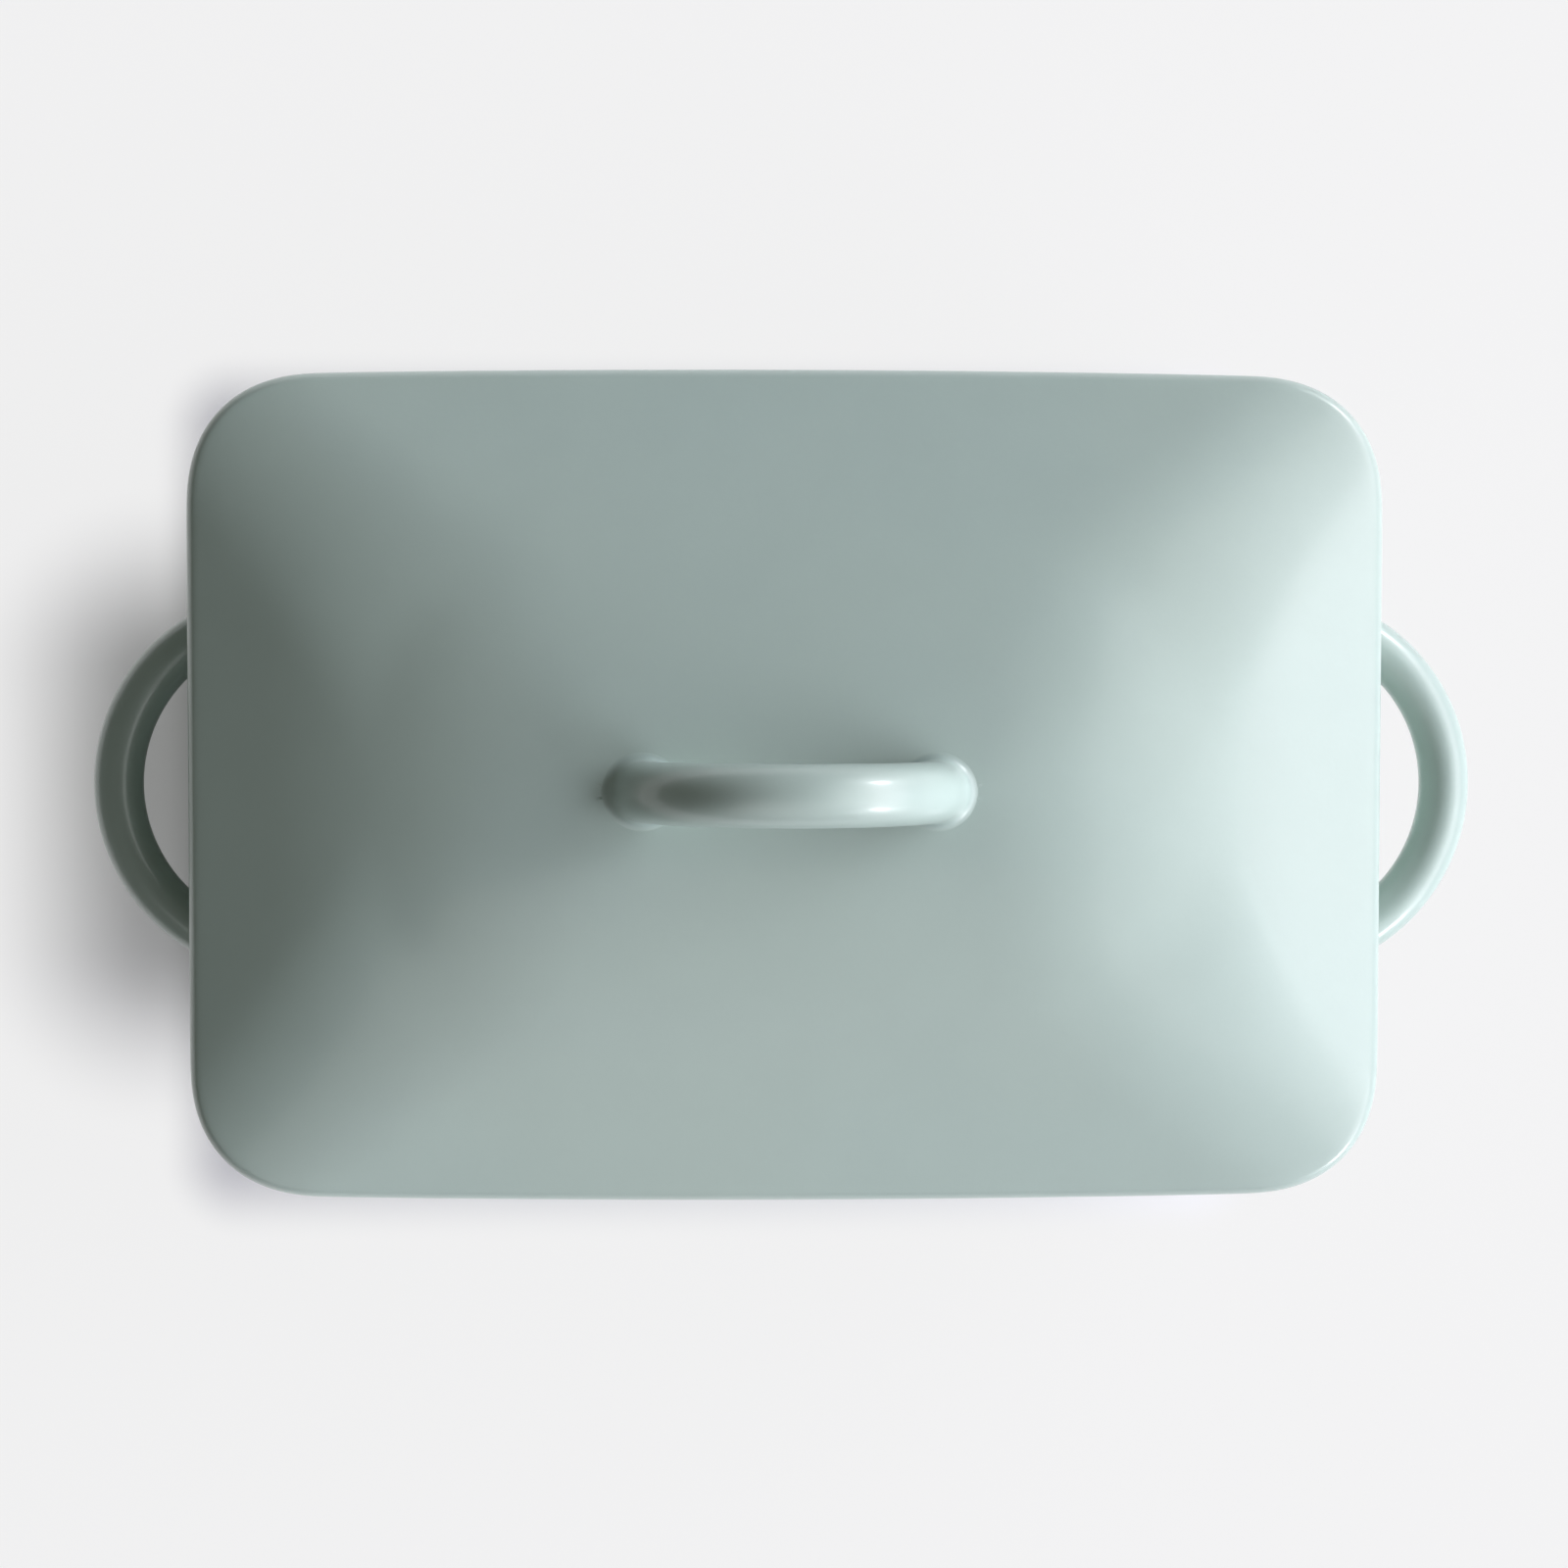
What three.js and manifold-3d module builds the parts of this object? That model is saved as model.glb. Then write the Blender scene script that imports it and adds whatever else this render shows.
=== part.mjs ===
// A covered stoneware baking dish: a rectangular dish with a looped handle on each short end,
// and a hipped lid that lifts off by an arched handle along its ridge.
// Millimetres, +Z up. The origin is on the table under the middle of the dish, and X runs along it.

import * as THREE from "three";
import { mergeVertices } from "three/addons/utils/BufferGeometryUtils.js";
import Module from "manifold-3d";

const wasm = await Module();
wasm.setup();

// Plan of the rim, shared by the dish and its lid
const rimLength = 330;
const rimWidth = 230; // at the middle of the long sides
const cornerRadius = 38;
const cornerFullness = 2.4; // exponent of the corner curve, where 2 is a quarter circle
const longSideBow = 2; // how far each long side falls back from its middle to the ends

// Dish
const dishHeight = 72;
const wallThickness = 6.5;
const wallDraft = 10; // how far the wall leans in from the lip down to the heel
const wallCornerShrink = 0.5; // how much the plan corner tightens for each mm of inset
const lipRounding = 2.4;
const floorThickness = 7;
const outerHeel = 20; // reach of the soft turn from the wall to the underside
const innerHeel = 16;
const floorMargin = 4; // flat floor between the end of the inner heel and its last ring
const footHeight = 2; // the bare foot ring lifts the glazed underside off the table
const footWidth = 7;
const footSetback = 2.5; // from the end of the heel to the foot ring
const footChamfer = 0.8;

// Lid
const lidOverhang = 1.5; // the edge of the lid stands this far past the lip of the dish
const lidThickness = 6;
const edgeHeight = 7; // upright band around the lid
const edgeRounding = 3.2;
const edgeUnderRounding = 1.2;
const edgePitch = THREE.MathUtils.degToRad(23); // slope of the dome where it leaves the edge
const shoulderWidth = 25; // over which the dome keeps that slope before it bends
const domeRise = 31; // from the edge band to the ridge
const ridgeHalfWidth = 4;
const hipSoftening = 0.33; // how much the plan corner opens for each mm towards the ridge
const endRoundness = 0.9; // where 1 would round the ends of the upper dome to half circles
const flangeDepth = 9; // the flange hangs inside the lip and keeps the lid from sliding
const flangeThickness = 5;
const flangeRounding = 1.6;
const flangeFillet = 5; // over which the hollow of the dome turns down into the flange
const flangeClearance = 1.5;
const lidSeatGap = 0.3;

// Handles
const sideHandleTube = 14;
const sideHandleSpacing = 89.5; // between the middles of its roots on the wall
const sideHandleReach = 31.8; // past the rim
const sideHandleDrop = 22; // middle of the bar below the lip
const lidHandleTube = 16.5;
const lidHandleSpacing = 78; // between the middles of its roots on the ridge
const lidHandleRise = 38; // top of the grip above the ridge
const rootFlare = 2; // how much the bar's radius grows where it meets the body
const flareLength = 6; // height over which it grows
const rootGap = 0.3; // luting line between a handle and the body that carries it

// Facets
const cornerSteps = 7;
const sideSteps = 4;
const roundingSteps = 5;
const domeSteps = 9;
const archSteps = 24;
const tubeSides = 18;

// Sizes that follow from the ones above
const halfLength = rimLength / 2;
const halfWidth = rimWidth / 2;
const wallFoot = lidOverhang + wallDraft; // inset at which the wall would meet the underside
const wallLean = wallDraft / (dishHeight - footHeight);
const floorTop = footHeight + floorThickness;
const footInset = wallFoot + outerHeel + footSetback;
const ridgeInset = halfWidth - ridgeHalfWidth;
const ridgeTop = domeHeight(ridgeInset);
const sideHandleHeight = dishHeight - sideHandleDrop;
const handleWall = halfLength - lidOverhang - wallLean * sideHandleDrop; // wall at that height

const glaze = { color: 0x9eafaa, roughness: 0.38, metalness: 0 };

// Plan corner of a wall drawn in by an inset
function wallCorner(inset) {
  return cornerRadius - wallCornerShrink * inset;
}

// Plan corner of the dome, which opens into soft hips until its ends are nearly half round
function domeCorner(inset) {
  return Math.min(cornerRadius + hipSoftening * inset, endRoundness * (halfWidth - inset));
}

// Height of the dome above the seat: straight over the shoulder, then bending to the level ridge
function domeHeight(inset) {
  const edgeSlope = Math.tan(edgePitch);
  const bend = (edgeSlope * halfWidth - domeRise) / (halfWidth - shoulderWidth) ** 2;
  return edgeHeight + edgeSlope * inset - bend * Math.max(inset - shoulderWidth, 0) ** 2;
}

// One level of the plan, anticlockwise from above: a rounded rectangle with bowed long sides
function planRing({ inset, z, corner }) {
  const alongX = halfLength - inset - corner;
  const alongY = halfWidth - inset - corner;
  const arc = Array.from({ length: cornerSteps + 1 }, (_, step) => {
    const turn = (Math.PI / 2) * (step / cornerSteps);
    const x = alongX + corner * Math.cos(turn) ** (2 / cornerFullness);
    const y = alongY + corner * Math.sin(turn) ** (2 / cornerFullness);
    return new THREE.Vector2(x, y);
  });
  const back = arc.toReversed();
  const arcs = [arc, flipped(back, -1, 1), flipped(arc, -1, -1), flipped(back, 1, -1)];
  const ring = arcs.flatMap((points, quarter) => {
    const next = arcs[(quarter + 1) % arcs.length][0];
    return [...points, ...pointsBetween(points.at(-1), next)];
  });
  return ring.map(({ x, y }) => {
    const fallBack = 1 - (longSideBow / halfWidth) * (x / halfLength) ** 2;
    return new THREE.Vector3(x, y * fallBack, z);
  });
}

function flipped(points, signX, signY) {
  return points.map(({ x, y }) => new THREE.Vector2(signX * x, signY * y));
}

function pointsBetween(from, to) {
  return Array.from({ length: sideSteps - 1 }, (_, step) => from.clone().lerp(to, (step + 1) / sideSteps));
}

// Skins a stack of rings with equal point counts and closes both ends
function loft(rings) {
  const count = rings[0].length;
  const points = rings.flat();
  const triangles = [];
  for (let level = 0; level < rings.length - 1; level += 1) {
    for (let index = 0; index < count; index += 1) {
      const next = (index + 1) % count;
      const below = level * count;
      const above = below + count;
      triangles.push(below + index, below + next, above + next);
      triangles.push(below + index, above + next, above + index);
    }
  }
  const firstMiddle = points.push(middleOf(rings[0])) - 1;
  const lastMiddle = points.push(middleOf(rings.at(-1))) - 1;
  const lastRing = (rings.length - 1) * count;
  for (let index = 0; index < count; index += 1) {
    const next = (index + 1) % count;
    triangles.push(firstMiddle, next, index);
    triangles.push(lastMiddle, lastRing + index, lastRing + next);
  }
  const geometry = new THREE.BufferGeometry().setFromPoints(points);
  geometry.setIndex(triangles);
  return geometry;
}

function middleOf(ring) {
  return ring.reduce((sum, point) => sum.add(point), new THREE.Vector3()).divideScalar(ring.length);
}

// A profile through corners of inset and height, each turned softly within its own reach
function softProfile(corners) {
  const places = corners.map(({ inset, z }) => new THREE.Vector2(inset, z));
  const path = new THREE.Path();
  path.moveTo(places[0].x, places[0].y);
  corners.slice(1).forEach(({ rounding = 0 }, index) => {
    const [before, here, after] = places.slice(index, index + 3);
    if (rounding > 0) {
      const start = before.clone().sub(here).setLength(rounding).add(here);
      const end = after.clone().sub(here).setLength(rounding).add(here);
      path.lineTo(start.x, start.y);
      path.quadraticCurveTo(here.x, here.y, end.x, end.y);
    } else {
      path.lineTo(here.x, here.y);
    }
  });
  return path.getPoints(roundingSteps);
}

function levels(profile, cornerRule) {
  return profile.map(({ x, y }) => ({ inset: x, z: y, corner: cornerRule(x) }));
}

function solidOf(geometry) {
  const merged = mergeVertices(geometry);
  const vertProperties = merged.attributes.position.array;
  const triVerts = Uint32Array.from(merged.index.array);
  return new wasm.Manifold(new wasm.Mesh({ numProp: 3, vertProperties, triVerts }));
}

function cutAway(geometry, tool) {
  const { vertProperties, triVerts } = solidOf(geometry).subtract(solidOf(tool)).getMesh();
  const result = new THREE.BufferGeometry();
  result.setAttribute("position", new THREE.BufferAttribute(vertProperties, 3));
  result.setIndex(new THREE.BufferAttribute(triVerts, 1));
  return result;
}

// Dish: from the underside over the foot ring, up the wall, over the lip and down to the floor
function dishGeometry() {
  const profile = softProfile([
    { inset: footInset + footWidth + footChamfer, z: footHeight },
    { inset: footInset + footWidth, z: 0 },
    { inset: footInset, z: 0 },
    { inset: footInset - footChamfer, z: footHeight },
    { inset: wallFoot, z: footHeight, rounding: outerHeel },
    { inset: lidOverhang, z: dishHeight, rounding: lipRounding },
    { inset: lidOverhang + wallThickness, z: dishHeight, rounding: lipRounding },
    { inset: wallFoot + wallThickness, z: floorTop, rounding: innerHeel },
    { inset: wallFoot + wallThickness + innerHeel + floorMargin, z: floorTop },
  ]);
  return loft(levels(profile, wallCorner).map(planRing));
}

// The wall's outer face as a solid block, grown by the luting line, to cope the side handles
function wallBlank() {
  const profile = [
    new THREE.Vector2(wallFoot - rootGap, footHeight),
    new THREE.Vector2(lidOverhang - rootGap, dishHeight),
  ];
  return loft(levels(profile, wallCorner).map(planRing));
}

function domeProfile(fromInset, toInset, drop) {
  return Array.from({ length: domeSteps + 1 }, (_, step) => {
    const inset = THREE.MathUtils.lerp(fromInset, toInset, step / domeSteps);
    return new THREE.Vector2(inset, domeHeight(inset) - drop);
  });
}

// Lid, with its seat at height 0: from under the ridge down to the flange, out and over the dome
function lidGeometry() {
  const flangeTop = lidOverhang + wallThickness + flangeClearance;
  const flangeFoot = flangeTop + wallLean * flangeDepth;
  const flangeInside = flangeFoot + flangeThickness;
  const underside = domeProfile(ridgeInset, flangeInside + flangeFillet, lidThickness);
  const flange = softProfile([
    { inset: flangeInside, z: domeHeight(flangeInside) - lidThickness },
    { inset: flangeInside, z: -flangeDepth, rounding: flangeRounding },
    { inset: flangeFoot, z: -flangeDepth, rounding: flangeRounding },
    { inset: flangeTop, z: 0 },
  ]);
  const edge = softProfile([
    { inset: flangeTop - flangeClearance, z: 0 },
    { inset: 0, z: 0, rounding: edgeUnderRounding },
    { inset: 0, z: edgeHeight, rounding: edgeRounding },
    { inset: 2 * edgeRounding, z: domeHeight(2 * edgeRounding) },
  ]);
  const dome = domeProfile(2 * edgeRounding, ridgeInset, 0).slice(1);
  const rings = [
    ...levels(underside, domeCorner),
    ...levels(flange, wallCorner),
    ...levels(edge, domeCorner),
    ...levels(dome, domeCorner),
  ];
  return loft(rings.map(planRing));
}

// The dome's outer face as a solid block, raised by the luting line, to cope the lid handle
function domeBlank() {
  return loft(levels(domeProfile(0, ridgeInset, -rootGap), domeCorner).map(planRing));
}

// Arched round bar in the XZ plane, with flared roots on the plane z = 0 and ends sunk below it
function archGeometry(spacing, rise, tube) {
  const barRise = rise - tube / 2;
  const radius = ((spacing / 2) ** 2 + barRise ** 2) / (2 * barRise);
  const centre = barRise - radius;
  const rootAngle = Math.atan2(spacing / 2, -centre);
  const stations = [];
  for (let step = 0; step <= archSteps; step += 1) {
    const share = Math.sin(Math.PI * (step / archSteps - 0.5)); // crowds the rings into the roots
    stations.push({ angle: rootAngle * share, sunk: 0 });
  }
  stations.unshift({ angle: -rootAngle, sunk: -tube });
  stations.push({ angle: rootAngle, sunk: tube });
  return loft(stations.map(({ angle, sunk }) => {
    const outward = new THREE.Vector3(Math.sin(angle), 0, Math.cos(angle));
    const onward = new THREE.Vector3(Math.cos(angle), 0, -Math.sin(angle));
    const middle = new THREE.Vector3(0, 0, centre);
    middle.addScaledVector(outward, radius).addScaledVector(onward, sunk);
    const nearness = THREE.MathUtils.clamp(1 - middle.z / flareLength, 0, 1);
    return barRing(middle, outward, tube / 2 + rootFlare * nearness ** 2);
  }));
}

function barRing(middle, outward, radius) {
  return Array.from({ length: tubeSides }, (_, side) => {
    const turn = (2 * Math.PI * side) / tubeSides;
    const across = new THREE.Vector3(0, -radius * Math.sin(turn), 0);
    return across.addScaledVector(outward, radius * Math.cos(turn)).add(middle);
  });
}

// Side handle on the +X end: the arch laid flat with its crown outwards, coped to the wall
function sideHandleGeometry() {
  const rise = halfLength + sideHandleReach - handleWall;
  const arch = archGeometry(sideHandleSpacing, rise, sideHandleTube);
  const crown = new THREE.Vector3(1, 0, 0);
  const along = new THREE.Vector3(0, 1, 0);
  const upright = new THREE.Vector3(0, 0, 1);
  const place = new THREE.Matrix4().makeBasis(along, upright, crown);
  place.setPosition(handleWall, 0, sideHandleHeight);
  return cutAway(arch.applyMatrix4(place), wallBlank());
}

// Lid handle, with the seat of the lid at height 0
function lidHandleGeometry() {
  const arch = archGeometry(lidHandleSpacing, lidHandleRise, lidHandleTube);
  return cutAway(arch.translate(0, 0, ridgeTop), domeBlank());
}

function piece(name, geometry) {
  geometry.computeVertexNormals();
  const mesh = new THREE.Mesh(geometry, new THREE.MeshStandardMaterial(glaze));
  mesh.name = name;
  return mesh;
}

const rightHandle = piece("right_handle", sideHandleGeometry());
const leftHandle = piece("left_handle", sideHandleGeometry());
leftHandle.rotation.z = Math.PI;
const dish = new THREE.Group();
dish.add(piece("dish_body", dishGeometry()), leftHandle, rightHandle);

const lid = new THREE.Group();
lid.add(piece("lid_shell", lidGeometry()), piece("lid_handle", lidHandleGeometry()));
lid.position.z = dishHeight + lidSeatGap;

const bakingDish = new THREE.Group().add(dish, lid);

export default bakingDish;
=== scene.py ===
import math

import bmesh
import bpy
from mathutils import Matrix, Vector


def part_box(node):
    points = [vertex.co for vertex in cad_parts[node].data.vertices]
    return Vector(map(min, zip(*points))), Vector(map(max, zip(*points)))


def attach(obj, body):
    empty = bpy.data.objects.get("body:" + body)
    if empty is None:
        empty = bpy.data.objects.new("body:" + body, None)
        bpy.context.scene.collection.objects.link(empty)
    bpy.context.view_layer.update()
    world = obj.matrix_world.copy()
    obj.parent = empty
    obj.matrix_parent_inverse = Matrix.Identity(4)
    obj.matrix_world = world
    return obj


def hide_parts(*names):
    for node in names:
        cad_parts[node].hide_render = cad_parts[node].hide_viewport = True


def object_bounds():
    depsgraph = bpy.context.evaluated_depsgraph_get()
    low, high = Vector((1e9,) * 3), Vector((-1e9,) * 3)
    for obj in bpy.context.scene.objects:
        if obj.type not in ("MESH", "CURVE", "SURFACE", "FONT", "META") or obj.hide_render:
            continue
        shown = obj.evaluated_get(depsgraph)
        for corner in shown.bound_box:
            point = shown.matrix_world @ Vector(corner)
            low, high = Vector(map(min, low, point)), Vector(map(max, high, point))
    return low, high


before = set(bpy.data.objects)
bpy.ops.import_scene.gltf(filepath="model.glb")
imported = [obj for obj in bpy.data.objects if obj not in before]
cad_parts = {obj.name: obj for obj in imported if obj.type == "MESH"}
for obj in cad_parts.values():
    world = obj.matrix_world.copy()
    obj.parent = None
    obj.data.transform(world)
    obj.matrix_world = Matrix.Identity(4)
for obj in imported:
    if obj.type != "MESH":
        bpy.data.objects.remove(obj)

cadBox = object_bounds()
print("frame loaded:", ", ".join(sorted(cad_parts)))

# Rim outline that the dish and the lid share, sizes in metres

rim = dict(
    cornerRadius=0.038,
    cornerFullness=2.4,   # 2 is a quarter circle, more is squarer
    sideBow=0.002,        # each long side falls back this much towards its ends
    endSteps=6,
    cornerSteps=16,
    sideSteps=9,
    turnSteps=6,          # of a rounded ring that names no other count
)
lidLow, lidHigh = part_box("lid_shell")
dishLow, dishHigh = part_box("dish_body")
halfLength = lidHigh.x
halfWidth = lidHigh.y
quarterSteps = rim["endSteps"] + rim["cornerSteps"] + rim["sideSteps"]
ringSteps = 4 * quarterSteps


def quarterPoint(place, inset, corner):
    alongX = halfLength - inset - corner
    alongY = halfWidth - inset - corner
    if place <= rim["endSteps"]:                       # half of a short end
        return halfLength - inset, alongY * place / rim["endSteps"]
    place -= rim["endSteps"]
    if place <= rim["cornerSteps"]:                    # the corner
        turn = math.radians(90) * place / rim["cornerSteps"]
        power = 2 / rim["cornerFullness"]
        across = corner * max(math.cos(turn), 0) ** power
        return alongX + across, alongY + corner * math.sin(turn) ** power
    place -= rim["cornerSteps"]
    return alongX * (1 - place / rim["sideSteps"]), halfWidth - inset   # half of a long side


def planPoint(step, inset, corner):
    quarter, place = divmod(step, quarterSteps)
    if quarter % 2:                                    # every other quarter is walked backwards
        place = quarterSteps - place
    x, y = quarterPoint(place, inset, corner)
    y *= 1 - rim["sideBow"] / halfWidth * (x / halfLength) ** 2
    return (-x if quarter in (1, 2) else x), (-y if quarter in (2, 3) else y)


def ringAt(shape, verts, level):
    step = shape.verts.layers.int["step"]
    for vert in verts:
        x, y = planPoint(vert[step], level["inset"], level["corner"])
        vert.co = (x, y, level["height"])


def edgesOf(verts):
    return list(dict.fromkeys(edge for vert in verts for edge in vert.link_edges))


def startRing(shape, level):
    step = shape.verts.layers.int.new("step")
    verts = bmesh.ops.create_circle(shape, segments=ringSteps, radius=halfWidth)["verts"]
    for index, vert in enumerate(verts):
        vert[step] = index
    ringAt(shape, verts, level)
    return edgesOf(verts)


def extrudeRing(shape, edges):
    grown = bmesh.ops.extrude_edge_only(shape, edges=edges)["geom"]
    verts = [part for part in grown if isinstance(part, bmesh.types.BMVert)]
    fresh = set(verts)
    sides = [part for part in grown if isinstance(part, bmesh.types.BMEdge)]
    return verts, [edge for edge in sides if fresh.issuperset(edge.verts)]


def nextRing(shape, edges, level):
    verts, ring = extrudeRing(shape, edges)
    ringAt(shape, verts, level)
    return ring


# Rings are extruded one from the next, both ends are filled, then each marked ring is rounded
def raiseShell(levels):
    shape = bmesh.new()
    rings = [startRing(shape, levels[0])]
    for level in levels[1:]:
        rings.append(nextRing(shape, rings[-1], level))
    for edges in (rings[0], rings[-1]):
        bmesh.ops.contextual_create(shape, geom=edges)
    for edges, level in zip(rings, levels):
        if level.get("turn"):
            roundEdges(shape, edges, level["turn"], level.get("turnSteps", rim["turnSteps"]))
    return shape


def roundEdges(shape, edges, reach, steps):
    bmesh.ops.bevel(
        shape, geom=edges, offset=reach, offset_type="OFFSET", segments=steps,
        profile=0.5, affect="EDGES", clamp_overlap=False, material=-1,
    )


finishing = dict(
    seam=1e-6,           # points nearer than this are one
    subdivisions=1,
    fullBend=260,        # mean curvature, per metre, at which the glaze runs thinnest
    bendSmoothing=3,
)


# Glaze runs off convex edges and gathers in hollows, so each point keeps how far its surface bends
def markGlaze(shape):
    bend = shape.verts.layers.float.new("glazeBend")
    for vert in shape.verts:
        area = sum(face.calc_area() / len(face.verts) for face in vert.link_faces)
        turned = sum(edge.calc_face_angle_signed(0) * edge.calc_length() for edge in vert.link_edges)
        curve = turned / (4 * area) / finishing["fullBend"] if area else 0
        vert[bend] = max(-1, min(1, curve))
    for _ in range(finishing["bendSmoothing"]):
        means = {}
        for vert in shape.verts:
            around = [edge.other_vert(vert)[bend] for edge in vert.link_edges]
            means[vert] = sum(around) / len(around)
        for vert, mean in means.items():
            vert[bend] = (vert[bend] + mean) / 2


def finishPiece(name, shape, materials, node, body):
    bmesh.ops.remove_doubles(shape, verts=shape.verts, dist=finishing["seam"])
    bmesh.ops.recalc_face_normals(shape, faces=shape.faces)
    markGlaze(shape)
    for face in shape.faces:
        face.smooth = True
    mesh = bpy.data.meshes.new(name)
    shape.to_mesh(mesh)
    shape.free()
    piece = bpy.data.objects.new(name, mesh)
    bpy.context.scene.collection.objects.link(piece)
    for material in materials:
        mesh.materials.append(material)
    smooth = piece.modifiers.new("Smooth clay", "SUBSURF")
    smooth.levels = finishing["subdivisions"]
    smooth.render_levels = finishing["subdivisions"]
    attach(piece, body)
    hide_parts(node)
    print("piece:", name, len(mesh.polygons), "faces before smoothing")


# Materials

def feed(tree, socket, value):
    if isinstance(value, bpy.types.NodeSocket):
        tree.links.new(value, socket)
    else:
        socket.default_value = value


def addNode(tree, kind, **inputs):
    node = tree.nodes.new(kind)
    for name, value in inputs.items():
        feed(tree, node.inputs[name.replace("_", " ")], value)
    return node


def mixColor(tree, blend, factor, first, second):
    node = tree.nodes.new("ShaderNodeMix")
    node.data_type = "RGBA"
    node.blend_type = blend
    for index, value in ((0, factor), (6, first), (7, second)):    # its color sockets
        feed(tree, node.inputs[index], value)
    return node.outputs[2]


def mathNode(tree, operation, first, second=0.0):
    node = tree.nodes.new("ShaderNodeMath")
    node.operation = operation
    feed(tree, node.inputs[0], first)
    feed(tree, node.inputs[1], second)
    return node.outputs[0]


def ramp(tree, value, low, high, lowOut=0.0, highOut=1.0):
    node = addNode(tree, "ShaderNodeMapRange", Value=value, From_Min=low, From_Max=high)
    node.inputs["To Min"].default_value = lowOut
    node.inputs["To Max"].default_value = highOut
    node.interpolation_type = "SMOOTHSTEP"
    return node.outputs[0]


def noise(tree, vector, scale, detail, roughness):
    node = addNode(tree, "ShaderNodeTexNoise", Vector=vector, Scale=scale, Detail=detail)
    node.inputs["Roughness"].default_value = roughness
    return node.outputs[0]


def newGroup(name, inputs, outputs):
    group = bpy.data.node_groups.new(name, "ShaderNodeTree")
    for label, kind in inputs:
        group.interface.new_socket(label, in_out="INPUT", socket_type=kind)
    for label, kind in outputs:
        group.interface.new_socket(label, in_out="OUTPUT", socket_type=kind)
    return group, group.nodes.new("NodeGroupInput").outputs, group.nodes.new("NodeGroupOutput").inputs


fired = dict(
    drift=dict(detail=2, roughness=0.5),
    mottle=dict(detail=4, roughness=0.6),
    grain=dict(detail=3, roughness=0.55),
    mottlePerDrift=7.0,    # clouds within one patch of the drift
)


# Uneven fired surface: slow drift of tone, cloudy mottle and the fine dimples of a satin skin
def firedSurfaceGroup():
    number = "NodeSocketFloat"
    group, given, result = newGroup(
        "Fired surface",
        [("Vector", "NodeSocketVector"), ("Drift Scale", number), ("Grain Scale", number)],
        [("Drift", number), ("Mottle", number), ("Grain", number)],
    )
    vector = given["Vector"]
    mottleScale = mathNode(group, "MULTIPLY", given["Drift Scale"], fired["mottlePerDrift"])
    drift = noise(group, vector, given["Drift Scale"], **fired["drift"])
    mottle = noise(group, vector, mottleScale, **fired["mottle"])
    grain = noise(group, vector, given["Grain Scale"], **fired["grain"])
    group.links.new(drift, result["Drift"])
    group.links.new(mottle, result["Mottle"])
    group.links.new(grain, result["Grain"])
    return group


def surfaceNode(tree, group, driftScale, grainScale):
    node = tree.nodes.new("ShaderNodeGroup")
    node.node_tree = group
    tree.links.new(tree.nodes.new("ShaderNodeTexCoord").outputs["Object"], node.inputs["Vector"])
    node.inputs["Drift Scale"].default_value = driftScale
    node.inputs["Grain Scale"].default_value = grainScale
    return node.outputs


def newMaterial(name):
    material = bpy.data.materials.new(name)
    material.use_nodes = True
    tree = material.node_tree
    return material, tree, tree.nodes["Principled BSDF"]


glaze = dict(
    sage=(0.322, 0.403, 0.350, 1),
    coolSage=(0.316, 0.401, 0.353, 1),
    thinSage=(0.47, 0.53, 0.47, 1),     # over edges, where the pale clay shows through
    pooledSage=(0.215, 0.295, 0.275, 1),
    thinBend=(0.3, 1.0),                # from where to where on the marked bend it runs thin
    thinShare=0.35,
    pooledBend=(-0.1, -0.8),
    pooledShare=0.45,
    driftSpan=(0.35, 0.65),
    mottleSpan=(0.3, 0.7),
    cloud=(0.99, 1.01),                 # how much the clouds darken and lighten it
    roughness=(0.33, 0.35),
    ior=1.54,
    coat=0.5,                           # the clear melt on top of the satin body
    coatRoughness=0.12,
    driftScale=7,
    grainScale=330,
    dimpleDepth=0.00004,
    dimpleStrength=0.8,
)


def glazeMaterial(group):
    material, tree, shader = newMaterial("Sage glaze")
    surface = surfaceNode(tree, group, glaze["driftScale"], glaze["grainScale"])
    bend = tree.nodes.new("ShaderNodeAttribute")
    bend.attribute_name = "glazeBend"
    drifted = ramp(tree, surface["Drift"], *glaze["driftSpan"])
    cloud = ramp(tree, surface["Mottle"], *glaze["mottleSpan"], *glaze["cloud"])
    thin = ramp(tree, bend.outputs["Fac"], *glaze["thinBend"])
    thin = mathNode(tree, "MULTIPLY", thin, glaze["thinShare"])
    pooled = ramp(tree, bend.outputs["Fac"], *glaze["pooledBend"])
    pooled = mathNode(tree, "MULTIPLY", pooled, glaze["pooledShare"])
    tone = mixColor(tree, "MIX", drifted, glaze["sage"], glaze["coolSage"])
    cloudy = mixColor(tree, "MULTIPLY", 1.0, tone, cloud)
    edged = mixColor(tree, "MIX", thin, cloudy, glaze["thinSage"])
    color = mixColor(tree, "MIX", pooled, edged, glaze["pooledSage"])
    satin = ramp(tree, surface["Mottle"], *glaze["mottleSpan"], *glaze["roughness"])
    tree.links.new(color, shader.inputs["Base Color"])
    tree.links.new(satin, shader.inputs["Roughness"])
    dimples = addNode(tree, "ShaderNodeBump", Strength=glaze["dimpleStrength"], Height=surface["Grain"])
    dimples.inputs["Distance"].default_value = glaze["dimpleDepth"]
    tree.links.new(dimples.outputs["Normal"], shader.inputs["Normal"])
    shader.inputs["IOR"].default_value = glaze["ior"]
    shader.inputs["Coat Weight"].default_value = glaze["coat"]
    shader.inputs["Coat Roughness"].default_value = glaze["coatRoughness"]
    return material


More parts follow.
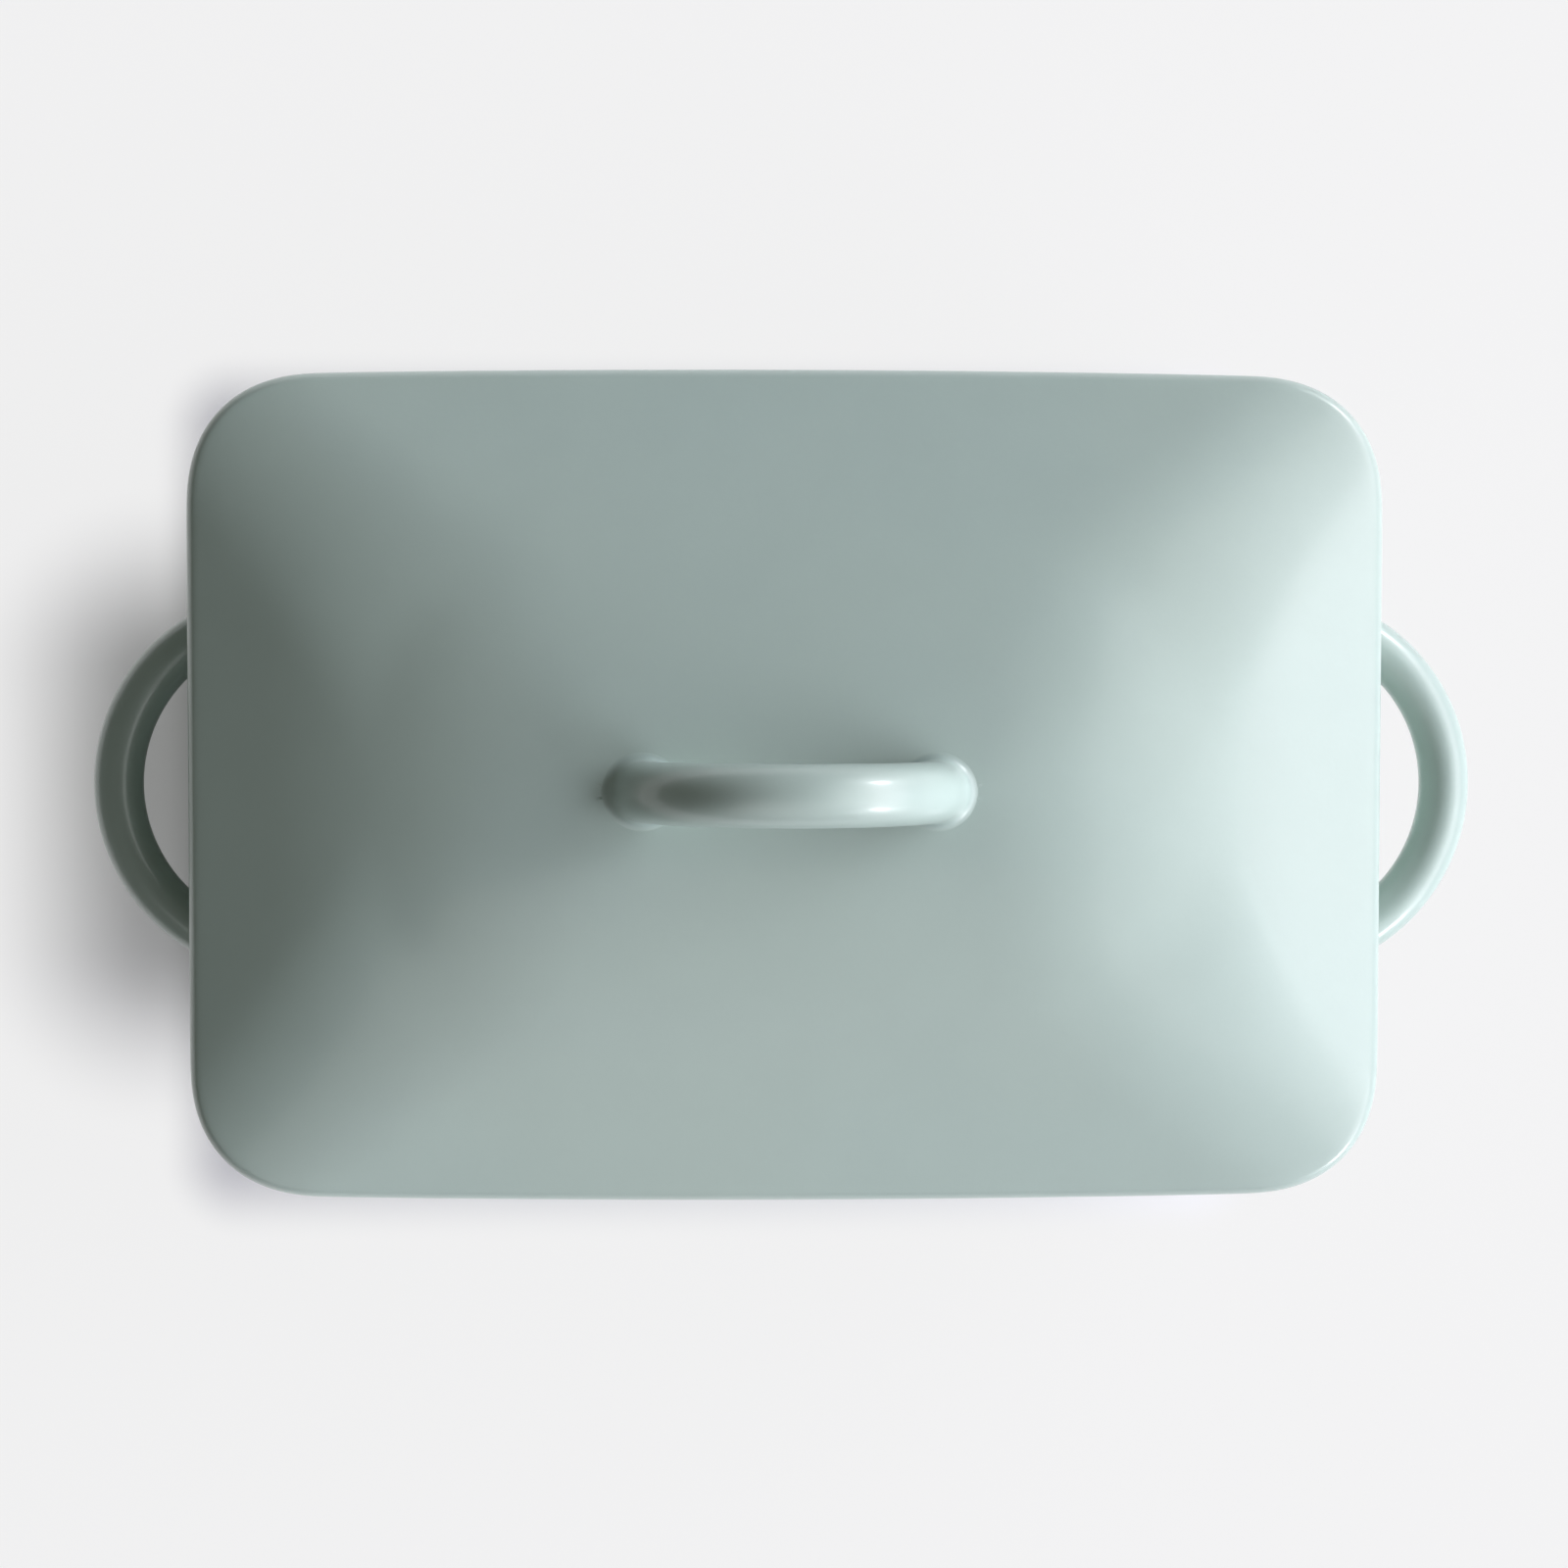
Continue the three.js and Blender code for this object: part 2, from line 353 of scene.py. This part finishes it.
bisque = dict(
    clay=(0.62, 0.53, 0.42, 1),
    dustyClay=(0.71, 0.63, 0.52, 1),
    ironSpeck=(0.33, 0.22, 0.14, 1),
    mottleSpan=(0.3, 0.7),
    grainSpan=(0.3, 0.7),
    speckSpan=(0.66, 0.74),    # only the highest grains are specks
    speckShare=0.5,
    roughness=(0.78, 0.92),
    driftScale=20,
    grainScale=1500,
    grainDepth=0.00012,
    grainStrength=0.6,
)


def bisqueMaterial(group):
    material, tree, shader = newMaterial("Bare stoneware")
    surface = surfaceNode(tree, group, bisque["driftScale"], bisque["grainScale"])
    dusty = ramp(tree, surface["Mottle"], *bisque["mottleSpan"])
    specks = ramp(tree, surface["Grain"], *bisque["speckSpan"])
    specks = mathNode(tree, "MULTIPLY", specks, bisque["speckShare"])
    clay = mixColor(tree, "MIX", dusty, bisque["clay"], bisque["dustyClay"])
    color = mixColor(tree, "MIX", specks, clay, bisque["ironSpeck"])
    dry = ramp(tree, surface["Grain"], *bisque["grainSpan"], *bisque["roughness"])
    tree.links.new(color, shader.inputs["Base Color"])
    tree.links.new(dry, shader.inputs["Roughness"])
    grain = addNode(tree, "ShaderNodeBump", Strength=bisque["grainStrength"], Height=surface["Grain"])
    grain.inputs["Distance"].default_value = bisque["grainDepth"]
    tree.links.new(grain.outputs["Normal"], shader.inputs["Normal"])
    return material


firedSurface = firedSurfaceGroup()
glazeSkin = glazeMaterial(firedSurface)
bareClay = bisqueMaterial(firedSurface)
print("materials:", glazeSkin.name, "and", bareClay.name)


# Dish, from the middle of its underside over the foot, up the wall and down to the floor

dish = dict(
    overhang=0.0015,       # the lid stands this far past the lip
    wall=0.0065,
    draft=0.010,           # the wall leans in this much on its way down
    cornerShrink=0.5,
    lipTurn=0.0024,
    floor=0.007,
    outerHeel=0.018,
    innerHeel=0.0145,
    footHeight=0.002,
    footWidth=0.007,
    footInset=0.034,
    footTurn=0.0007,
    bareHeight=0.0012,     # the foot is wiped clean of glaze up to here
    floorMargin=0.010,
    wallRings=(0.35, 0.5, 0.65, 0.8),   # where on its height the wall has rings
)
wallFoot = dish["overhang"] + dish["draft"]
wallLean = dish["draft"] / (dishHigh.z - dish["footHeight"])


def wallLevel(inset, height, **more):
    corner = rim["cornerRadius"] - dish["cornerShrink"] * inset
    return dict(inset=inset, height=height, corner=corner, **more)


def dishLevels():
    turn = dish["footTurn"]
    footTop = dish["footHeight"]
    footOutside = dish["footInset"]
    footInside = footOutside + dish["footWidth"]
    floorTop = footTop + dish["floor"]
    floorEdge = wallFoot + dish["wall"]
    outerRings = []
    innerRings = []
    for share in dish["wallRings"]:
        height = footTop + share * (dishHigh.z - footTop)
        inset = wallFoot - share * dish["draft"]
        outerRings.append(wallLevel(inset, height))
        innerRings.insert(0, wallLevel(inset + dish["wall"], height))
    return [
        wallLevel(footInside + 3 * turn, footTop),
        wallLevel(footInside + turn, footTop, turn=turn, turnSteps=2),
        wallLevel(footInside, 0, turn=turn, turnSteps=3),
        wallLevel(footOutside, 0, turn=turn, turnSteps=3),
        wallLevel(footOutside - turn, footTop, turn=turn, turnSteps=2),
        wallLevel(wallFoot, footTop, turn=dish["outerHeel"], turnSteps=10),
        *outerRings,
        wallLevel(dish["overhang"], dishHigh.z, turn=dish["lipTurn"]),
        wallLevel(dish["overhang"] + dish["wall"], dishHigh.z, turn=dish["lipTurn"]),
        *innerRings,
        wallLevel(floorEdge, floorTop, turn=dish["innerHeel"], turnSteps=10),
        wallLevel(floorEdge + dish["innerHeel"] + dish["floorMargin"], floorTop),
    ]


def buildDish():
    shape = raiseShell(dishLevels())
    for face in shape.faces:
        if face.calc_center_median().z < dish["bareHeight"]:
            face.material_index = 1                        # bare clay
    finishPiece("Dish", shape, [glazeSkin, bareClay], "dish_body", "dish")


# Lid, from under its ridge down to the flange, out along the seat and over the dome

lid = dict(
    flangeDepth=0.009,         # below the seat
    flangeThickness=0.005,
    flangeClearance=0.0015,
    flangeTurn=0.0016,
    flangeFillet=0.004,
    thickness=0.006,
    edgeHeight=0.007,
    edgeTurn=0.0032,
    edgeUnderTurn=0.0012,
    edgePitch=math.radians(23),
    shoulder=0.025,            # the dome keeps its pitch over this width, then bends to the ridge
    domeRise=0.031,
    hipSoftening=0.33,
    endRoundness=0.9,
    ridgeHalf=0.0012,
    domeStart=0.00768,         # inset of the first ring above the rounded edge
    domeRings=32,
    ringGather=1.4,            # more than 1 draws the rings together towards the ridge
)
lidSeat = lidLow.z + lid["flangeDepth"]


def domeHeight(inset):
    slope = math.tan(lid["edgePitch"])
    bend = (slope * halfWidth - lid["domeRise"]) / (halfWidth - lid["shoulder"]) ** 2
    return lid["edgeHeight"] + slope * inset - bend * max(inset - lid["shoulder"], 0) ** 2


def domeLevel(inset, height, **more):
    widest = lid["endRoundness"] * (halfWidth - inset)
    corner = min(rim["cornerRadius"] + lid["hipSoftening"] * inset, widest)
    return dict(inset=inset, height=lidSeat + height, corner=corner, **more)


def domeRings(fromInset, drop):
    ridgeInset = halfWidth - lid["ridgeHalf"]
    levels = []
    for step in range(lid["domeRings"] + 1):
        left = (1 - step / lid["domeRings"]) ** lid["ringGather"]
        inset = ridgeInset - (ridgeInset - fromInset) * left
        levels.append(domeLevel(inset, domeHeight(inset) - drop))
    return levels


def lidLevels():
    flangeTop = dish["overhang"] + dish["wall"] + lid["flangeClearance"]
    flangeFoot = flangeTop + wallLean * lid["flangeDepth"]
    flangeInside = flangeFoot + lid["flangeThickness"]
    underside = domeRings(flangeInside + 2 * lid["flangeFillet"], lid["thickness"])
    ceiling = lidSeat + domeHeight(flangeInside) - lid["thickness"]
    return [
        *reversed(underside),
        wallLevel(flangeInside, ceiling, turn=lid["flangeFillet"]),
        wallLevel(flangeInside, lidLow.z, turn=lid["flangeTurn"]),
        wallLevel(flangeFoot, lidLow.z, turn=lid["flangeTurn"]),
        wallLevel(flangeTop, lidSeat, turn=lid["flangeTurn"] / 2, turnSteps=3),
        domeLevel(0, 0, turn=lid["edgeUnderTurn"], turnSteps=4),
        domeLevel(0, lid["edgeHeight"], turn=lid["edgeTurn"]),
        *domeRings(lid["domeStart"], 0),
    ]


def buildLid():
    finishPiece("Lid", raiseShell(lidLevels()), [glazeSkin], "lid_shell", "lid")


# Handles: a round bar spun through an arch, whose ends run out onto the body in hollow curves

handles = dict(
    fillet=0.0032,
    filletSteps=7,
    barSides=32,
    barSteps=44,
    rootSteps=4,          # rings between the spun bar and its fillets
    landingTries=16,      # in which a bar's side finds the surface that carries it
    sink=0.0001,          # the fillet runs out just under that surface
    skirt=0.0006,
)


def archOf(spacing, rise):
    radius = ((spacing / 2) ** 2 + rise ** 2) / (2 * rise)
    return radius, rise - radius                      # and how far its centre lies above the roots


def swing(place, arch, angle):
    return arch["centre"] + Matrix.Rotation(angle, 3, arch["axis"]) @ (place - arch["centre"])


def spinBar(shape, arch, thickness):
    bar = bmesh.ops.create_circle(shape, segments=handles["barSides"], radius=thickness / 2)["verts"]
    turned = Matrix((arch["crown"], arch["axis"], arch["axis"].cross(arch["crown"]))).transposed()
    bmesh.ops.rotate(shape, verts=bar, cent=(0, 0, 0), matrix=turned)
    bmesh.ops.translate(shape, verts=bar, vec=arch["centre"] + arch["crown"] * arch["radius"])
    start = Matrix.Rotation(-arch["spun"], 3, arch["axis"])
    bmesh.ops.rotate(shape, verts=bar, cent=arch["centre"], matrix=start)
    bmesh.ops.spin(
        shape, geom=bar + edgesOf(bar), cent=arch["centre"], axis=arch["axis"], angle=2 * arch["spun"],
        steps=handles["barSteps"],
    )


def turnToBody(place, side, arch, outward, settle):
    arm = place - arch["centre"]
    radius = (arm - arch["axis"] * arm.dot(arch["axis"])).length
    turn = 0
    for _ in range(handles["landingTries"]):
        foot = swing(place, arch, side * turn)
        turn += (foot - settle(foot)).dot(outward) / radius
    return turn, turn - handles["fillet"] / radius    # to the surface, and to where the fillet begins


def squareTo(normal, direction):
    return (direction - normal * direction.dot(normal)).normalized()


# Each end follows its arch, bends out into a fillet and is tucked under the surface that carries it
def filletRoots(shape, arch, outward, settle):
    spoke = shape.verts.layers.int.new("spoke")
    across = arch["axis"].cross(arch["crown"])
    ends = [edge for edge in shape.edges if edge.is_boundary]
    for side in (-1, 1):
        ring = [edge for edge in ends if side * edge.verts[0].co.dot(across) > 0]
        verts = list(dict.fromkeys(vert for edge in ring for vert in edge.verts))
        for index, vert in enumerate(verts):
            vert[spoke] = index
        tips = [vert.co.copy() for vert in verts]
        turns = [turnToBody(tip, side, arch, outward, settle) for tip in tips]
        corners = [settle(swing(tip, arch, side * turn[0])) for tip, turn in zip(tips, turns)]
        middle = sum(corners, Vector()) / len(corners)
        aways = [squareTo(outward, corner - middle) for corner in corners]
        for step in range(1, handles["rootSteps"] + 1):
            share = step / handles["rootSteps"]
            places = [swing(tip, arch, side * share * turn[1]) for tip, turn in zip(tips, turns)]
            ring = growRing(shape, ring, places)
        toes = [settle(corner + away * handles["fillet"]) for corner, away in zip(corners, aways)]
        starts = places
        for step in range(1, handles["filletSteps"] + 1):
            share = step / handles["filletSteps"]
            places = [
                start * (1 - share) ** 2 + corner * 2 * share * (1 - share) + toe * share ** 2
                for start, corner, toe in zip(starts, corners, toes)
            ]
            ring = growRing(shape, ring, places)
        tucked = [toe + (away - outward) * handles["skirt"] for toe, away in zip(toes, aways)]
        growRing(shape, ring, tucked)


def growRing(shape, ring, places):
    spoke = shape.verts.layers.int["spoke"]
    verts, grown = extrudeRing(shape, ring)
    for vert in verts:
        vert.co = places[vert[spoke]]
    return grown


sideHandle = dict(
    bar=0.014,
    spacing=0.0895,       # between the middles of the roots
    drop=0.022,           # below the lip
    reach=cadBox[1][0],   # outermost point of the loop
    spun=math.radians(53),   # to each side, short of the roots
)


def buildSideHandle(name, node, side):
    height = dishHigh.z - sideHandle["drop"]
    wallAt = halfLength - dish["overhang"] - wallLean * sideHandle["drop"]
    radius, lift = archOf(sideHandle["spacing"], sideHandle["reach"] - sideHandle["bar"] / 2 - wallAt)
    arch = dict(
        centre=Vector((wallAt + lift, 0, height)), radius=radius, spun=sideHandle["spun"],
        axis=Vector((0, 0, 1)), crown=Vector((1, 0, 0)),
    )
    outward = Vector((1, 0, -wallLean)).normalized()
    onWall = Vector((wallAt, 0, height)) - outward * handles["sink"]
    shape = bmesh.new()
    spinBar(shape, arch, sideHandle["bar"])
    filletRoots(shape, arch, outward, lambda place: place - outward * (place - onWall).dot(outward))
    if side < 0:
        halfTurn = Matrix.Rotation(math.pi, 3, "Z")
        bmesh.ops.rotate(shape, verts=shape.verts, cent=(0, 0, 0), matrix=halfTurn)
    finishPiece(name, shape, [glazeSkin], node, "dish")


lidHandle = dict(
    bar=0.0165,
    spacing=0.078,
    top=cadBox[1][2],     # crown of the grip
    spun=math.radians(62),
)


def onDome(place):
    narrowing = 1 - rim["sideBow"] / halfWidth * (place.x / halfLength) ** 2
    inset = halfWidth - abs(place.y) / narrowing
    return Vector((place.x, place.y, lidSeat + domeHeight(inset) - handles["sink"]))


def buildLidHandle():
    ridge = lidSeat + domeHeight(halfWidth)
    radius, lift = archOf(lidHandle["spacing"], lidHandle["top"] - lidHandle["bar"] / 2 - ridge)
    upward = Vector((0, 0, 1))
    arch = dict(
        centre=Vector((0, 0, ridge + lift)), radius=radius, spun=lidHandle["spun"],
        axis=Vector((0, 1, 0)), crown=upward,
    )
    shape = bmesh.new()
    spinBar(shape, arch, lidHandle["bar"])
    filletRoots(shape, arch, upward, onDome)
    finishPiece("Lid_handle", shape, [glazeSkin], "lid_handle", "lid")


buildDish()
buildLid()
buildSideHandle("Left_handle", "left_handle", -1)
buildSideHandle("Right_handle", "right_handle", 1)
buildLidHandle()


# Floor, light and camera

studio = dict(
    floorSize=12.0,
    floorColor=(0.80, 0.80, 0.80, 1),
    paper=0.893,                  # tone of the bare floor and of the backdrop
    shades=[                      # in these boxes only the least share of it covers the shadow
        dict(middle=(-0.02, -0.006), half=(0.145, 0.111), reach=0.025, least=0.0),
        dict(middle=(-0.045, -0.01), half=(0.145, 0.04), reach=0.06, least=0.2),
        dict(middle=(0.0, 0.0), half=(0.3, 0.3), reach=0.6, least=0.93),
    ],
    ambient=0.135,
    ambientColor=(1, 1, 0.9, 1),
    panelDistance=dict(soft=3.0, glint=2.85),                  # soft panels light the clay,
    panelColor=dict(soft=(0.89, 0.875, 1), glint=(1, 1, 1)),   # glints are what the glaze mirrors
    panels=[                      # in degrees, turn from +X towards +Y, spans as the object sees them
        dict(name="Side strip", turn=0, elevation=22, spanWide=60, spanHigh=14, soft=8.4, glint=2.0),
        dict(name="Front strip", turn=-45, elevation=15, spanWide=30, spanHigh=28, soft=8.4, glint=1.4),
        dict(name="Back strip", turn=45, elevation=15, spanWide=30, spanHigh=28, soft=8.4, glint=1.4),
        dict(name="Front card", turn=-42, elevation=18, spanWide=10, spanHigh=12, glint=16.0),
        dict(name="Back card", turn=42, elevation=18, spanWide=10, spanHigh=12, glint=16.0),
        dict(name="Side softbox", turn=0, elevation=34, spanWide=70, spanHigh=14, soft=8.4, glint=2.0),
        dict(name="Upper card", turn=0, elevation=47, spanWide=60, spanHigh=36, glint=1.27),
        dict(name="Front fill", turn=-90, elevation=44, spanWide=60, spanHigh=58, soft=0.33, glint=0.79),
    ],
)


# Bounced light still meets the plain floor, the paper tone is only for what sees it
def seenShare(tree):
    path = tree.nodes.new("ShaderNodeLightPath").outputs
    seen = mathNode(tree, "MAXIMUM", path["Is Camera Ray"], path["Is Glossy Ray"])
    return mathNode(tree, "MAXIMUM", seen, path["Is Transmission Ray"])


def outsideBox(tree, place, shade):
    squares = []
    for axis, middle, half in zip("XY", shade["middle"], shade["half"]):
        off = mathNode(tree, "ABSOLUTE", mathNode(tree, "SUBTRACT", place.outputs[axis], middle))
        past = mathNode(tree, "SUBTRACT", off, half)
        squares.append(mathNode(tree, "POWER", mathNode(tree, "MAXIMUM", past, 0.0), 2.0))
    away = mathNode(tree, "SQRT", mathNode(tree, "ADD", *squares))
    return ramp(tree, away, 0.0, shade["reach"], shade["least"])


def floorMaterial():
    material, tree, shader = newMaterial("Pale floor")
    shader.inputs["Base Color"].default_value = studio["floorColor"]
    shader.inputs["Roughness"].default_value = 1.0
    shader.inputs["Specular IOR Level"].default_value = 0.0
    spot = tree.nodes.new("ShaderNodeTexCoord").outputs["Object"]
    place = addNode(tree, "ShaderNodeSeparateXYZ", Vector=spot)
    near, cast, around = (outsideBox(tree, place, shade) for shade in studio["shades"])
    lift = mathNode(tree, "MULTIPLY", mathNode(tree, "MULTIPLY", near, cast), around)
    paper = addNode(tree, "ShaderNodeEmission", Strength=studio["paper"])
    mixed = tree.nodes.new("ShaderNodeMixShader")
    tree.links.new(mathNode(tree, "MULTIPLY", lift, seenShare(tree)), mixed.inputs[0])
    tree.links.new(shader.outputs[0], mixed.inputs[1])
    tree.links.new(paper.outputs[0], mixed.inputs[2])
    tree.links.new(mixed.outputs[0], tree.nodes["Material Output"].inputs["Surface"])
    return material


def buildFloor():
    shape = bmesh.new()
    bmesh.ops.create_grid(shape, x_segments=1, y_segments=1, size=studio["floorSize"] / 2)
    mesh = bpy.data.meshes.new("Floor")
    shape.to_mesh(mesh)
    shape.free()
    mesh.materials.append(floorMaterial())
    floor = bpy.data.objects.new("Floor", mesh)
    bpy.context.scene.collection.objects.link(floor)


def addPanel(panel, use):
    raised = math.radians(panel["elevation"])
    turned = math.radians(panel["turn"])
    level = math.cos(raised)
    towards = Vector((level * math.cos(turned), level * math.sin(turned), math.sin(raised)))
    distance = studio["panelDistance"][use]
    lamp = bpy.data.lights.new(panel["name"] + " " + use, "AREA")
    lamp.shape = "RECTANGLE"
    lamp.size = 2 * distance * math.tan(math.radians(panel["spanWide"] / 2))
    lamp.size_y = 2 * distance * math.tan(math.radians(panel["spanHigh"] / 2))
    lamp.energy = math.pi * lamp.size * lamp.size_y * panel[use]    # from radiance to watts
    lamp.color = studio["panelColor"][use]
    holder = bpy.data.objects.new(lamp.name, lamp)
    holder.location = distance * towards
    holder.rotation_euler = (-towards).to_track_quat("-Z", "Y").to_euler()
    holder.visible_camera = False
    holder.visible_diffuse = use == "soft"
    holder.visible_glossy = use == "glint"
    bpy.context.scene.collection.objects.link(holder)


def buildLight():
    for panel in studio["panels"]:
        for use in ("soft", "glint"):
            if use in panel:
                addPanel(panel, use)
    world = bpy.data.worlds.new("Studio")
    world.use_nodes = True
    tree = world.node_tree
    ambient = tree.nodes["Background"]
    ambient.inputs["Color"].default_value = studio["ambientColor"]
    ambient.inputs["Strength"].default_value = studio["ambient"]
    backdrop = addNode(tree, "ShaderNodeBackground", Color=(1, 1, 1, 1), Strength=studio["paper"])
    mixed = tree.nodes.new("ShaderNodeMixShader")
    tree.links.new(tree.nodes.new("ShaderNodeLightPath").outputs["Is Camera Ray"], mixed.inputs[0])
    tree.links.new(ambient.outputs[0], mixed.inputs[1])
    tree.links.new(backdrop.outputs[0], mixed.inputs[2])
    tree.links.new(mixed.outputs[0], tree.nodes["World Output"].inputs["Surface"])
    bpy.context.scene.world = world


view = dict(
    aim=(-0.0008, 0.0008, 0.0755),   # middle of the picture, on the level of the lid's edge
    distance=0.75,
    leanX=-1.3,                     # degrees off the plumb line
    leanY=2.1,
    frameWidth=0.4346,              # what the picture takes in at that level
    sensor=36,
)


def buildCamera():
    camera = bpy.data.cameras.new("Overhead")
    camera.sensor_fit = "HORIZONTAL"
    camera.sensor_width = view["sensor"]
    camera.lens = view["sensor"] * view["distance"] / view["frameWidth"]
    holder = bpy.data.objects.new("Overhead", camera)
    aim = Vector(view["aim"])
    leanX, leanY = (math.tan(math.radians(view[name])) for name in ("leanX", "leanY"))
    lean = Vector((leanX, leanY, 1)).normalized()
    right = squareTo(lean, Vector((1, 0, 0)))
    up = lean.cross(right)
    turned = Matrix((right, up, lean)).transposed().to_4x4()
    holder.matrix_world = Matrix.Translation(aim + lean * view["distance"]) @ turned
    bpy.context.scene.collection.objects.link(holder)
    bpy.context.scene.camera = holder


buildFloor()
buildLight()
buildCamera()
bpy.context.scene.view_settings.view_transform = "Standard"
print("studio ready")
